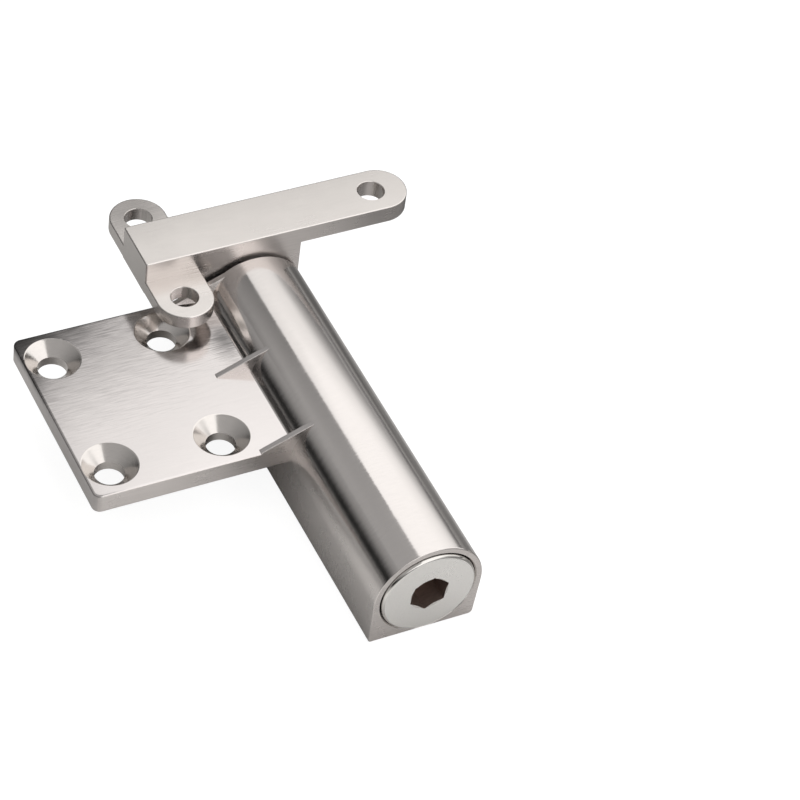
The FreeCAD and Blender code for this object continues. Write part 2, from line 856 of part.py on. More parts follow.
def coil_spring(name, start, stop, turns, inner, width, depth):
    """A flat wire wound about the pivot axis between two places, its section width by depth."""
    body = new_body(name)
    section = axis_sketch(body, name + "_wire")
    outline(section, [
        (start, inner),
        (start, inner + width),
        (start + depth, inner + width),
        (start + depth, inner),
    ])
    coil = body.newObject("PartDesign::AdditiveHelix", name + "_coil")
    coil.Profile = section
    coil.ReferenceAxis = (section, ["H_Axis"])
    coil.Mode = "height-turns-angle"
    bind(coil, "Height", stop - start - depth)
    bind(coil, "Turns", turns)
    document.recompute()


coil_spring("check_spring", piston_base + retainer_thick + seat_gap,
            valve_seat - ball_sink - check_ball_radius - seat_gap * 2, check_turns,
            oil_passage + seat_gap, check_wire, check_wire)
coil_spring("return_spring", plate_far + seat_gap, piston_base - seat_gap, spring_turns,
            spring_inner, spring_wire_width, spring_wire_depth)

# A fixed plate carries the spring and the two rods that keep the piston from turning
guide_plate = turned("guide_plate", [
    (plate_near, needle_radius + fit_gap * 2),
    (plate_near, bore_radius - seat_gap),
    (plate_far, bore_radius - seat_gap),
    (plate_far, needle_radius + fit_gap * 2),
])
rod_seats = new_sketch(guide_plate, "rod_seats", "XZ_Plane", up=axis_height, out=-plate_near)
ring(rod_seats, rod_pitch_radius, 0.0, rod_radius + seat_gap)
ring(rod_seats, -rod_pitch_radius, 0.0, rod_radius + seat_gap)
pocket(guide_plate, "rod_seats_through", rod_seats, plate_thick)
rod_length = piston_base + rod_entry - plate_near
rods = []
for side in (-1.0, 1.0):
    rods.append(round_bar("guide_rod_%d" % (len(rods) + 1), rod_radius, rod_length,
                          side * rod_pitch_radius, plate_near, axis_height, "y"))
guide_rods = document.addObject("Part::Compound", "guide_rods")
guide_rods.Label = "guide_rods"
guide_rods.Links = rods

# An open snap ring in the bore's groove keeps the plate from moving towards the plug
snap_ring = tube("snap_ring", ring_near + seat_gap, plate_near - seat_gap,
                 bore_radius - ring_bite * 2, ring_groove - seat_gap)
snap_gap = new_sketch(snap_ring, "snap_gap", "XZ_Plane", up=axis_height, out=-ring_near)
outline(snap_gap, [
    (-ring_opening / 2, 0.0),
    (ring_opening / 2, 0.0),
    (ring_opening / 2, bore_radius + overshoot),
    (-ring_opening / 2, bore_radius + overshoot),
])
pocket(snap_ring, "snap_gap_cut", snap_gap, ring_thick)

# Adjuster plug: a flat head that stands just proud, a sealed shank and a metering needle
shank_radius = running_bore
plug_seal_place = head_seat + shank_length / 2
plug = turned("adjuster_plug", [
    (plug_face + socket_bevel, 0.0),
    (plug_face + socket_bevel, socket_flats / 2),
    (plug_face, socket_flats / 2 + socket_bevel),
    (plug_face, plug_radius - plug_edge_bevel),
    (plug_face + plug_edge_bevel, plug_radius),
    (head_seat - seat_gap, plug_radius),
    (head_seat - seat_gap, shank_radius),
    (plug_seal_place - seal_half, shank_radius),
    (plug_seal_place - seal_half, groove_floor),
    (plug_seal_place + seal_half, groove_floor),
    (plug_seal_place + seal_half, shank_radius),
    (shank_end, shank_radius),
    (shank_end, needle_radius),
    (plate_far, needle_radius),
    (plate_far, 0.0),
])
seal_ring("plug_seal", plug_seal_place, groove_floor)
socket = new_sketch(plug, "socket", "XZ_Plane", up=axis_height, out=-plug_face, turn=socket_turn)
socket_corner = socket_flats / 2 / math.cos(math.radians(30))
outline(socket, [
    (socket_corner * math.cos(math.radians(60 * k)), socket_corner * math.sin(math.radians(60 * k)))
    for k in range(6)
])
pocket(plug, "key_socket", socket, socket_depth)

document.recompute()

pieces = [
    "barrel_leaf", "bearing_bush", "face_washer", "fixed_race", "ball_cage", "thrust_balls",
    "guide_plate", "guide_rods", "snap_ring", "return_spring",
    "bracket", "spindle", "spindle_dowel", "turning_race", "spindle_seal",
    "piston", "piston_seal", "cross_pin", "check_ball", "check_spring", "valve_retainer",
    "adjuster_plug", "plug_seal",
]
for item in document.Objects:
    if "Invalid" in item.State or "Error" in item.State:
        raise ValueError("%s failed: %s" % (item.Name, item.State))
for name in pieces:
    shape = document.getObject(name).Shape
    if shape.isNull() or not shape.isValid() or not shape.Solids:
        raise ValueError(name + " has no valid shape")

os.makedirs("parts", exist_ok=True)
for name in pieces:
    shape = document.getObject(name).Shape
    shape.exportStep("parts/%s.step" % name)
    print("%-15s %d solid  %.1f mm3" % (name, len(shape.Solids), shape.Volume))
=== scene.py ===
import math

import bmesh
import bpy
import numpy as np
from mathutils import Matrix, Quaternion, Vector


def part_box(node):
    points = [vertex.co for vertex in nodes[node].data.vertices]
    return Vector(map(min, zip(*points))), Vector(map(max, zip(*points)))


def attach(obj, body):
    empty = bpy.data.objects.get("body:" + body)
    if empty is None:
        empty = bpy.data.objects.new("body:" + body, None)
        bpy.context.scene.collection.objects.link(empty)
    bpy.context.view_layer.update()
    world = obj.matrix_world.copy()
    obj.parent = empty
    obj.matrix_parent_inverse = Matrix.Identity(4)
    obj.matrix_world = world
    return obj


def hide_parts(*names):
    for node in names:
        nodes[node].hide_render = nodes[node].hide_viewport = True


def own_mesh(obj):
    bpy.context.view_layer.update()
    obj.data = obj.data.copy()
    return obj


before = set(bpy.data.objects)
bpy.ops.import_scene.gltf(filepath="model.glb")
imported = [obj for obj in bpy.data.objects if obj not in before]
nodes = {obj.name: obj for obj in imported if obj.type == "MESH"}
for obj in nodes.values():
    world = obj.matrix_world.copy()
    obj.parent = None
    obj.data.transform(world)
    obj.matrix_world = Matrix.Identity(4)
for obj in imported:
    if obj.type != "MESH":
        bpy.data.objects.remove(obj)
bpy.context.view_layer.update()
mm = 0.001
scene = bpy.context.scene
scene.view_settings.view_transform = "Standard"

# Camera: a long lens that looks down on the plug's end of the barrel from the leaf's side,
# turned a little about its own line of sight.
lens_length = 146.1
sensor_width = 36.0
aim = Vector((18.03, 5.55, 12.0)) * mm
camera_distance = 710.4 * mm
heading = math.radians(31.70)
descent = math.radians(45.02)
camera_roll = math.radians(8.82)
sight = Vector((math.sin(heading) * math.cos(descent),
                math.cos(heading) * math.cos(descent), -math.sin(descent)))
camera = bpy.data.objects.new("camera", bpy.data.cameras.new("camera"))
scene.collection.objects.link(camera)
camera.data.lens = lens_length
camera.data.sensor_width = sensor_width
camera.data.clip_start = 10 * mm
camera.data.clip_end = 20.0
camera.location = aim - sight * camera_distance
camera.rotation_mode = "QUATERNION"
level_look = sight.to_track_quat("-Z", "Y")
camera.rotation_quaternion = level_look @ Quaternion((0, 0, 1), camera_roll)
scene.camera = camera

# Studio: a pale room that is brightest overhead and to the right, with a grey wall on the left
# and a dark slit along the wall's foot. The camera itself sees plain white.


def add_node(tree, kind, settings=None, inputs=None, links=None):
    """Add one node: settings are its attributes, inputs its socket values, links its sources."""
    node = tree.nodes.new(kind)
    for key, value in (settings or {}).items():
        setattr(node, key, value)
    for key, value in (inputs or {}).items():
        node.inputs[key].default_value = value
    for key, source in (links or {}).items():
        tree.links.new(source, node.inputs[key])
    return node


def set_ramp(node, stops, tint=(1.0, 1.0, 1.0)):
    """Give a colour ramp its stops: (place, level) pairs in rising order, and level * tint."""
    ramp = node.color_ramp
    while len(ramp.elements) < len(stops):
        ramp.elements.new(1.0)
    for element, (place, level) in zip(ramp.elements, stops):
        element.position = place
        element.color = (*(level * share for share in tint), 1.0)


world = bpy.data.worlds.new("studio")
scene.world = world
world.use_nodes = True
tree = world.node_tree
tree.nodes.clear()
looking = add_node(tree, "ShaderNodeTexCoord")
direction = add_node(tree, "ShaderNodeSeparateXYZ", links={0: looking.outputs["Generated"]})
look_angle = add_node(tree, "ShaderNodeMath", {"operation": "ARCTAN2"},
                      links={0: direction.outputs["Z"], 1: direction.outputs["X"]})
angle_share = add_node(tree, "ShaderNodeMapRange",
                       inputs={"From Min": -math.pi, "From Max": math.pi},
                       links={"Value": look_angle.outputs[0]})
# Light by the angle about the barrel's axis: 0 is the right-hand horizon, 90 straight up,
# 180 the left-hand horizon, and less than 0 the floor. The ramp holds it as shares of full light
full_light = 2.0
light_by_angle = [
    (-180, 0.24), (-172, 0.36), (-160, 0.48), (-140, 0.50), (-118, 0.42), (-90, 0.38),
    (-30, 0.28), (-4, 0.22), (2, 0.15), (8, 0.46), (16, 0.88), (24, 1.16), (34, 1.30),
    (44, 1.38), (90, 1.38), (93, 1.34), (95, 0.58), (105, 0.54), (114, 0.50), (138, 0.44),
    (146, 0.38), (154, 0.30), (163, 0.11), (169, 0.02), (175, 0.02), (180, 0.12),
]
warmth = (1.0, 0.995, 0.988)
glow = add_node(tree, "ShaderNodeValToRGB", links={0: angle_share.outputs[0]})
set_ramp(glow, [((angle + 180) / 360, level / full_light) for angle, level in light_by_angle],
         warmth)
studio = add_node(tree, "ShaderNodeBackground", inputs={"Strength": full_light},
                  links={"Color": glow.outputs["Color"]})
backdrop_white = add_node(tree, "ShaderNodeBackground", inputs={"Color": (1, 1, 1, 1)})
ray = add_node(tree, "ShaderNodeLightPath")
sky = add_node(tree, "ShaderNodeMixShader",
               links={0: ray.outputs["Is Camera Ray"], 1: studio.outputs[0],
                      2: backdrop_white.outputs[0]})
add_node(tree, "ShaderNodeOutputWorld", links={"Surface": sky.outputs[0]})

# Floor: a wide sheet of pale card that the hinge's flat base lies on. It looks white to the
# camera and keeps a faint shadow, and the metal sees it as card in the studio's light, with
# painted light and shade on it.
floor_half = 1.5
floor_drop = 0.05 * mm


def level_sheet(name, corner, opposite):
    """One level face between two opposite corners, at the height of the first."""
    mesh = bpy.data.meshes.new(name)
    mesh.from_pydata([(corner.x, corner.y, corner.z), (opposite.x, corner.y, corner.z),
                      (opposite.x, opposite.y, corner.z), (corner.x, opposite.y, corner.z)],
                     [], [(0, 1, 2, 3)])
    sheet = bpy.data.objects.new(name, mesh)
    scene.collection.objects.link(sheet)
    return sheet


def empty_material(name):
    """A new material that has no nodes yet."""
    material = bpy.data.materials.new(name)
    material.use_nodes = True
    material.node_tree.nodes.clear()
    return material


floor = level_sheet("floor", Vector((-floor_half, -floor_half, -floor_drop)),
                    Vector((floor_half, floor_half, -floor_drop)))
card = empty_material("card_with_painted_shade")
tree = card.node_tree
place = add_node(tree, "ShaderNodeTexCoord")
card_place = add_node(tree, "ShaderNodeSeparateXYZ", links={0: place.outputs["Object"]})
# The card's paleness with painted shade, from left to right in millimetres from the barrel's axis
card_left, card_right = -300, 300
card_light_by_place = [(-300, 0.28), (-167, 0.42), (-76, 0.46), (-64, 0.63), (-52, 0.78), (-38, 0.82),
                 (-23, 0.75), (-13, 0.56), (24, 0.54), (34, 0.46), (44, 0.27), (95, 0.23),
                 (226, 0.62)]
card_tint = (1.0, 0.995, 0.985)
card_share = add_node(tree, "ShaderNodeMapRange",
                      inputs={"From Min": card_left * mm, "From Max": card_right * mm},
                      links={"Value": card_place.outputs["X"]})
card_light_ramp = add_node(tree, "ShaderNodeValToRGB", links={0: card_share.outputs[0]})
set_ramp(card_light_ramp, [((x - card_left) / (card_right - card_left), pale)
                       for x, pale in card_light_by_place], card_tint)
# Along the barrel it has painted light just in front of the plug, and painted shade far out in
# front
# and behind the bracket: each row goes from one place to another, in millimetres, and from share to
# share
card_light_along = [(-60, -45, 1.25, 1.0), (-300, -130, 0.12, 1.0), (50, 65, 1.0, 0.65)]
card_shade = card_light_ramp.outputs["Color"]
for start, stop, share_at_start, share_at_stop in card_light_along:
    kept = add_node(tree, "ShaderNodeMapRange",
                    inputs={"From Min": start * mm, "From Max": stop * mm,
                            "To Min": share_at_start, "To Max": share_at_stop},
                    links={"Value": card_place.outputs["Y"]})
    shaded = add_node(tree, "ShaderNodeVectorMath", {"operation": "SCALE"},
                      links={0: card_shade, "Scale": kept.outputs[0]})
    card_shade = shaded.outputs[0]
lit_card = add_node(tree, "ShaderNodeBsdfDiffuse", links={"Color": card_shade})
# The camera sees grey card, which takes the shadow, under a white glow
shadow_grey = (0.25, 0.25, 0.25, 1)
floor_glow = 0.9
shadow_card = add_node(tree, "ShaderNodeBsdfDiffuse", inputs={"Color": shadow_grey})
white = add_node(tree, "ShaderNodeEmission", inputs={"Color": (1, 1, 1, 1), "Strength": floor_glow})
shown = add_node(tree, "ShaderNodeAddShader",
                 links={0: shadow_card.outputs[0], 1: white.outputs[0]})
ray = add_node(tree, "ShaderNodeLightPath")
both = add_node(tree, "ShaderNodeMixShader",
                links={0: ray.outputs["Is Camera Ray"], 1: lit_card.outputs[0],
                       2: shown.outputs[0]})
add_node(tree, "ShaderNodeOutputMaterial", links={"Surface": both.outputs[0]})
floor.data.materials.append(card)

# Reflector: a lit white sheet on a grey one, close above the hinge, that only polished metal
# mirrors. Its left edge is sharp, its far edge and far left corner dim, and its right end fades.
sheet_far_left = Vector((-160, 900, 135)) * mm
sheet_near_right = Vector((650, -500, 135)) * mm
reflector = level_sheet("reflector", sheet_far_left, sheet_near_right)
reflector.visible_camera = False
reflector.visible_diffuse = False
reflector.visible_shadow = False
lit_sheet = empty_material("lit_sheet")
lit_sheet.cycles.emission_sampling = "NONE"
tree = lit_sheet.node_tree
place = add_node(tree, "ShaderNodeTexCoord")
sheet_place = add_node(tree, "ShaderNodeSeparateXYZ", links={0: place.outputs["Object"]})

# The lit sheet's left edge is straight, but in front of this line it runs out to the left
edge_start, edge_stop = -18 * mm, -14 * mm
front_line = -150 * mm
front_slant = 0.8
beyond = add_node(tree, "ShaderNodeMath", {"operation": "SUBTRACT"}, inputs={0: front_line},
                  links={1: sheet_place.outputs["Y"]})
front_reach = add_node(tree, "ShaderNodeMath", {"operation": "MAXIMUM"}, inputs={1: 0.0},
                       links={0: beyond.outputs[0]})
shifted = add_node(tree, "ShaderNodeMath", {"operation": "MULTIPLY_ADD"}, inputs={1: front_slant},
                   links={0: front_reach.outputs[0], 2: sheet_place.outputs["X"]})
left_edge = add_node(tree, "ShaderNodeMapRange", {"interpolation_type": "SMOOTHSTEP"},
                     inputs={"From Min": edge_start, "From Max": edge_stop},
                     links={"Value": shifted.outputs[0]})

# Right of this line it fades, and faster the further back a point lies, where points on a line
# that slants back to the right count as equally far back
fade_line = 100 * mm
back_slant = -0.68
crowd_line = 73 * mm
crowd_reach = 55 * mm
light_by_fading = [(0.0, 1.0), (0.11, 0.80), (0.22, 0.52), (0.5, 0.34), (1.0, 0.18)]
past = add_node(tree, "ShaderNodeMath", {"operation": "SUBTRACT"}, inputs={1: fade_line},
                links={0: sheet_place.outputs["X"]})
rightward = add_node(tree, "ShaderNodeMath", {"operation": "MAXIMUM"}, inputs={1: 0.0},
                     links={0: past.outputs[0]})
back = add_node(tree, "ShaderNodeMath", {"operation": "MULTIPLY_ADD"}, inputs={1: back_slant},
                links={0: rightward.outputs[0], 2: sheet_place.outputs["Y"]})
crowding = add_node(tree, "ShaderNodeMath", {"operation": "MULTIPLY_ADD"},
                    inputs={1: 1 / crowd_reach, 2: -crowd_line / crowd_reach},
                    links={0: back.outputs[0]})
crowded = add_node(tree, "ShaderNodeMath", {"operation": "EXPONENT"},
                   links={0: crowding.outputs[0]})
fading = add_node(tree, "ShaderNodeMath", {"operation": "MULTIPLY"},
                  links={0: rightward.outputs[0], 1: crowded.outputs[0]})
right_end = add_node(tree, "ShaderNodeValToRGB", links={0: fading.outputs[0]})
set_ramp(right_end, light_by_fading)

# The near right corner is unlit: 1 less the share to the right times the share to the front
corner_left, corner_right = 110 * mm, 180 * mm
corner_back, corner_front = -60 * mm, -150 * mm
right_share = add_node(tree, "ShaderNodeMapRange",
                       inputs={"From Min": corner_left, "From Max": corner_right},
                       links={"Value": sheet_place.outputs["X"]})
near_share = add_node(tree, "ShaderNodeMapRange",
                      inputs={"From Min": corner_back, "From Max": corner_front, "To Max": -1.0},
                      links={"Value": sheet_place.outputs["Y"]})
near_right = add_node(tree, "ShaderNodeMath", {"operation": "MULTIPLY_ADD"}, inputs={2: 1.0},
                      links={0: right_share.outputs[0], 1: near_share.outputs[0]})

# The far edge dims slowly and then at once, and sooner towards the far left corner
cut_line = 30 * mm
cut_slant = 0.8
far_start, far_stop = 100 * mm, 200 * mm
light_by_far_share = [(0.0, 1.0), (0.20, 0.84), (0.45, 0.79), (0.72, 0.76), (0.79, 0.34),
                      (0.86, 0.10), (0.95, 0.0)]
short_of_line = add_node(tree, "ShaderNodeMath", {"operation": "SUBTRACT"},
                         inputs={0: cut_line}, links={1: sheet_place.outputs["X"]})
cornered = add_node(tree, "ShaderNodeMath", {"operation": "MAXIMUM"}, inputs={1: 0.0},
                    links={0: short_of_line.outputs[0]})
slanted = add_node(tree, "ShaderNodeMath", {"operation": "MULTIPLY_ADD"}, inputs={1: cut_slant},
                   links={0: cornered.outputs[0], 2: back.outputs[0]})
far_share = add_node(tree, "ShaderNodeMapRange",
                     inputs={"From Min": far_start, "From Max": far_stop},
                     links={"Value": slanted.outputs[0]})
far_edge = add_node(tree, "ShaderNodeValToRGB", links={0: far_share.outputs[0]})
set_ramp(far_edge, light_by_far_share)
lit = left_edge.outputs[0]
for dimmed in (right_end.outputs["Color"], near_right.outputs[0], far_edge.outputs["Color"]):
    product = add_node(tree, "ShaderNodeMath", {"operation": "MULTIPLY"}, links={0: lit, 1: dimmed})
    lit = product.outputs[0]

# The unlit sheet is grey, darker at the back, and darker beside the lit sheet's left edge
grey_start, grey_stop = 125 * mm, 230 * mm
grey_near, grey_far = 0.46, 0.12
shadow_start, shadow_stop = 50 * mm, 125 * mm
shadow_left, shadow_right = -100 * mm, -16 * mm
shadow_depth = 0.5
lit_level = 1.38
far_grey = add_node(tree, "ShaderNodeMapRange",
                    inputs={"From Min": grey_start, "From Max": grey_stop,
                            "To Min": grey_near, "To Max": grey_far},
                    links={"Value": sheet_place.outputs["Y"]})
behind = add_node(tree, "ShaderNodeMapRange",
                  inputs={"From Min": shadow_start, "From Max": shadow_stop},
                  links={"Value": sheet_place.outputs["Y"]})
beside = add_node(tree, "ShaderNodeMapRange",
                  inputs={"From Min": shadow_left, "From Max": shadow_right,
                          "To Max": -shadow_depth},
                  links={"Value": sheet_place.outputs["X"]})
shadow = add_node(tree, "ShaderNodeMath", {"operation": "MULTIPLY_ADD"}, inputs={2: 1.0},
                  links={0: behind.outputs[0], 1: beside.outputs[0]})
grey = add_node(tree, "ShaderNodeMath", {"operation": "MULTIPLY"},
                links={0: far_grey.outputs[0], 1: shadow.outputs[0]})
sheet_level = add_node(tree, "ShaderNodeMix", {"data_type": "FLOAT"}, inputs={3: lit_level},
                       links={0: lit, 2: grey.outputs[0]})
sheet_light = add_node(tree, "ShaderNodeEmission", inputs={"Color": (*warmth, 1.0)},
                       links={"Strength": sheet_level.outputs[0]})
add_node(tree, "ShaderNodeOutputMaterial", links={"Surface": sheet_light.outputs[0]})
reflector.data.materials.append(lit_sheet)

# Barrel and leaf: one metal casting with a ground barrel, a brushed leaf and three ribs. The leaf
# is let into the door and screwed down through four countersunk holes. Plated in satin nickel.
low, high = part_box("barrel_leaf")
near_end, far_end = low.y, high.y
barrel_radius = high.x
axis_height = high.z - barrel_radius
leaf_edge = low.x
flank_draft = math.radians(4.0)
foot_left_radius = 0.5 * mm
foot_right_radius = 1.0 * mm
end_round = 0.3 * mm
leaf_length = 49.2 * mm
leaf_thick = 5.0 * mm
leaf_under = axis_height
leaf_top = leaf_under + leaf_thick
leaf_near = far_end - leaf_length
leaf_root = -11.0 * mm
leaf_corner = 1.8 * mm
root_corner = 0.5 * mm
leaf_round = 0.5 * mm
# How far back a joined face lies, so that two faces never share a plane
set_back = 0.01 * mm
# How far a cutting shape runs on past the face that it cuts
overrun = 1.0 * mm
round_steps = 4
fewest_points = 3
sharp_angle = math.radians(32.0)


def outline(arcs, degrees_apart):
    """A closed outline of arcs (x, y, radius, start, stop) in degrees, joined by straight lines.

    Each point is centre + radius * (cos t, sin t), and (cos t, sin t) is its outward direction."""
    points, outward = [], []
    for x, y, radius, start, stop in arcs:
        steps = max(fewest_points, int(abs(stop - start) / degrees_apart) + 1)
        t = np.radians(np.linspace(start, stop, steps))
        way = np.c_[np.cos(t), np.sin(t)]
        points.append(np.array([x, y]) + radius * way)
        outward.append(way)
    return np.vstack(points), np.vstack(outward)


def rounded_box(left, right, near, far, left_corner, right_corner, degrees_apart):
    """A rectangle's outline, with one corner radius on its left and another on its right."""
    return outline([
        (left + left_corner, near + left_corner, left_corner, 180, 270),
        (right - right_corner, near + right_corner, right_corner, 270, 360),
        (right - right_corner, far - right_corner, right_corner, 0, 90),
        (left + left_corner, far - left_corner, left_corner, 90, 180),
    ], degrees_apart)


def solid(name, rings):
    """A closed mesh from a grid of rings (rows, around, 3): quads between rows, two flat caps."""
    rows, around = rings.shape[:2]
    index = np.arange(rows * around).reshape(rows, around)
    after = np.roll(index, -1, axis=1)
    quads = np.stack([index[:-1], after[:-1], after[1:], index[1:]], axis=-1).reshape(-1, 4)
    faces = quads.tolist() + [index[0][::-1].tolist(), index[-1].tolist()]
    mesh = bpy.data.meshes.new(name)
    mesh.from_pydata(rings.reshape(-1, 3).tolist(), [], faces)
    work = bmesh.new()
    work.from_mesh(mesh)
    bmesh.ops.recalc_face_normals(work, faces=work.faces)
    work.to_mesh(mesh)
    work.free()
    piece = bpy.data.objects.new(name, mesh)
    scene.collection.objects.link(piece)
    return piece


def prism(name, shape, start, stop, axis, rim=0.0):
    """An outline carried straight from start to stop along Y or Z, with both rims rounded.

    At an angle t of the rim the outline is drawn in by rim * (1 - sin t), at rim * (1 - cos t)
    from the end, so that each rim is a quarter circle."""
    points, outward = shape
    t = np.linspace(0, math.pi / 2, round_steps + 1) if rim else np.array([math.pi / 2])
    drawn_in = rim * (1 - np.sin(t))
    along = rim * (1 - np.cos(t)) if rim else np.zeros(1)
    drawn_in = np.r_[drawn_in, drawn_in[::-1]]
    places = np.r_[start + along, (stop - along)[::-1]]
    flat = points[None] - outward[None] * drawn_in[:, None, None]
    lift = np.broadcast_to(places[:, None, None], flat.shape[:2] + (1,))
    if axis == "Z":
        return solid(name, np.concatenate([flat, lift], axis=2))
    return solid(name, np.concatenate([flat[..., :1], lift, flat[..., 1:]], axis=2))


def turned(name, profile, centre, axis, around=128):
    """A profile of (place, radius) points spun about a line along Y or Z through the centre.

    The point at angle t is centre + radius * (cos t, sin t) across the line, at its place."""
    place, radius = np.array(profile).T
    t = np.linspace(0, 2 * math.pi, around, endpoint=False)
    first = centre[0] + radius[:, None] * np.cos(t)
    second = centre[1] + radius[:, None] * np.sin(t)
    lift = np.broadcast_to(place[:, None], first.shape)
    order = [first, second, lift] if axis == "Z" else [first, lift, second]
    return solid(name, np.stack(order, axis=-1))


def applied(piece):
    """Replace a piece's mesh by what its modifiers make of it."""
    graph = bpy.context.evaluated_depsgraph_get()
    finished = bpy.data.meshes.new_from_object(piece.evaluated_get(graph))
    piece.modifiers.clear()
    spare = piece.data
    piece.data = finished
    finished.name = piece.name
    bpy.data.meshes.remove(spare)


def combine(piece, other, way):
    """Join another shape to a piece, or cut it out of the piece, and take the other away."""
    step = piece.modifiers.new("combine", "BOOLEAN")
    step.operation = way
    step.solver = "EXACT"
    step.object = other
    applied(piece)
    bpy.data.objects.remove(other)


def face_sides(mesh):
    """The centre and the outward direction of every face, as two arrays."""
    count = len(mesh.polygons)
    middles, ways = np.empty(count * 3), np.empty(count * 3)
    mesh.polygons.foreach_get("center", middles)
    mesh.polygons.foreach_get("normal", ways)
    return middles.reshape(-1, 3), ways.reshape(-1, 3)


def finish_metal(piece, materials, choose=None):
    """Give each face the material that choose picks, or else the first one, and shade curves
    smooth while flat faces stay flat."""
    piece.data.materials.clear()
    for material in materials:
        piece.data.materials.append(material)
    if choose:
        picked = choose(*face_sides(piece.data)).astype(np.int32)
        piece.data.polygons.foreach_set("material_index", picked)
    piece.data.shade_smooth()
    piece.data.set_sharp_from_angle(angle=sharp_angle)
    even = piece.modifiers.new("even", "WEIGHTED_NORMAL")
    even.keep_sharp = True
    applied(piece)


def true_round(piece, radius, height):
    """Shade a barrel that lies along Y as the true cylinder: each corner of a face on it turns
    its shading direction to (x, 0, z - height) / radius, and all other corners keep theirs."""
    straight_out = 0.999
    near_enough = 0.02 * mm
    above_nothing = 1e-9
    mesh = piece.data
    count = len(mesh.loops)
    shaded = np.empty(count * 3)
    mesh.corner_normals.foreach_get("vector", shaded)
    shaded = shaded.reshape(-1, 3)
    point_of = np.empty(count, dtype=np.int32)
    mesh.loops.foreach_get("vertex_index", point_of)
    points = np.empty(len(mesh.vertices) * 3)
    mesh.vertices.foreach_get("co", points)
    places = points.reshape(-1, 3)[point_of]
    sides = np.empty(len(mesh.polygons), dtype=np.int32)
    mesh.polygons.foreach_get("loop_total", sides)
    _, ways = face_sides(mesh)
    radial = np.c_[places[:, 0], np.zeros(count), places[:, 2] - height]
    reach = np.linalg.norm(radial, axis=1)
    radial /= np.maximum(reach, above_nothing)[:, None]
    faces_out = np.sum(np.repeat(ways, sides, axis=0) * radial, axis=1) > straight_out
    on_round = faces_out & (np.abs(reach - radius) < near_enough)
    shaded[on_round] = radial[on_round]
    mesh.normals_split_custom_set(shaded.tolist())


# The barrel's section: flat wall and base on the left, round crown, and a drafted right flank
foot_right = ((barrel_radius - foot_right_radius
               - (axis_height - foot_right_radius) * math.sin(flank_draft))
              / math.cos(flank_draft))
draft = math.degrees(flank_draft)
barrel_section = outline([
    (-barrel_radius + foot_left_radius, foot_left_radius, foot_left_radius, 270, 180),
    (0.0, axis_height, barrel_radius, 180, -draft),
    (foot_right, foot_right_radius, foot_right_radius, -draft, -90),
], degrees_apart=1.2)
casting = prism("casting", barrel_section, near_end, far_end, "Y", end_round)

leaf_plan = rounded_box(leaf_edge, leaf_root, leaf_near, far_end - set_back,
                        leaf_corner, root_corner, degrees_apart=6.0)
combine(casting, prism("leaf", leaf_plan, leaf_under, leaf_top, "Z", leaf_round), "UNION")

# A small cast fillet runs along the leaf's root. Its circle touches the leaf's top and the
# barrel, and its other sides are buried in both
root_fillet = 0.6 * mm
fillet_start = -92
fillet_points = 9
in_barrel = -10.8 * mm
in_leaf = leaf_top - 0.5 * mm
fillet_tuck = 0.05 * mm
fillet_height = leaf_top + root_fillet
fillet_across = -math.sqrt((barrel_radius + root_fillet) ** 2
                           - (fillet_height - axis_height) ** 2)
fillet_lean = math.degrees(math.atan2(fillet_height - axis_height, fillet_across))
t = np.radians(np.linspace(fillet_start, fillet_lean - 180, fillet_points))
fillet_curve = np.c_[fillet_across + (root_fillet + set_back) * np.cos(t),
                     fillet_height + (root_fillet + set_back) * np.sin(t)]
buried = np.array([[in_barrel, fillet_curve[-1, 1] - fillet_tuck],
                   [in_barrel, in_leaf],
                   [fillet_curve[0, 0], in_leaf]])
fillet_shape = np.vstack([fillet_curve, buried])
combine(casting, prism("fillet", (fillet_shape, np.zeros_like(fillet_shape)),
                       leaf_near + leaf_round, far_end - leaf_round, "Y"), "UNION")

# Three ribs climb from the leaf's top onto the barrel. The outer two are flush with its ends
rib_tip = -(barrel_radius + 6.6 * mm)
rib_run = 11.8 * mm
rib_slope = math.radians(22.5)
rib_start = rib_tip - 0.1 * mm
rib_rise = 0.25 * mm
rib_depth = 4.3 * mm
rib_ridge = 1.3 * mm
rib_foot = 2.8 * mm
ridge_round = 0.2 * mm
leaf_middle = (leaf_near + far_end) / 2


def rib(name, foot_near, foot_far, ridge_near, ridge_far):
    """A rib: a four-cornered section with a rounded ridge, carried up a straight slope.

    The section stands in Y and Z, and its height grows by the slope's tangent along X."""
    top, bottom = -ridge_round, -rib_depth
    section, _ = outline([
        (ridge_near + ridge_round, top, ridge_round, 180, 90),
        (ridge_far - ridge_round, top, ridge_round, 90, 0),
        (foot_far, bottom, 0.0, 0, 0),
        (foot_near, bottom, 0.0, 0, 0),
    ], degrees_apart=22.0)
    across = np.array([rib_start, rib_tip + rib_run])
    climb = leaf_top + rib_rise + (across - rib_tip) * math.tan(rib_slope)
    x = np.broadcast_to(across[:, None], (2, len(section)))
    y = np.broadcast_to(section[None, :, 0], x.shape)
    z = section[None, :, 1] + climb[:, None]
    return solid(name, np.stack([x, y, z], axis=-1))


rib_near = leaf_near + set_back
rib_far = far_end - set_back * 2
for name, foot_near, foot_far, ridge_near, ridge_far in (
        ("near_rib", rib_near, rib_near + rib_foot, rib_near, rib_near + rib_ridge),
        ("middle_rib", leaf_middle - rib_foot / 2, leaf_middle + rib_foot / 2,
         leaf_middle - rib_ridge / 2, leaf_middle + rib_ridge / 2),
        ("far_rib", rib_far - rib_foot, rib_far, rib_far - rib_ridge, rib_far)):
    combine(casting, rib(name, foot_near, foot_far, ridge_near, ridge_far), "UNION")

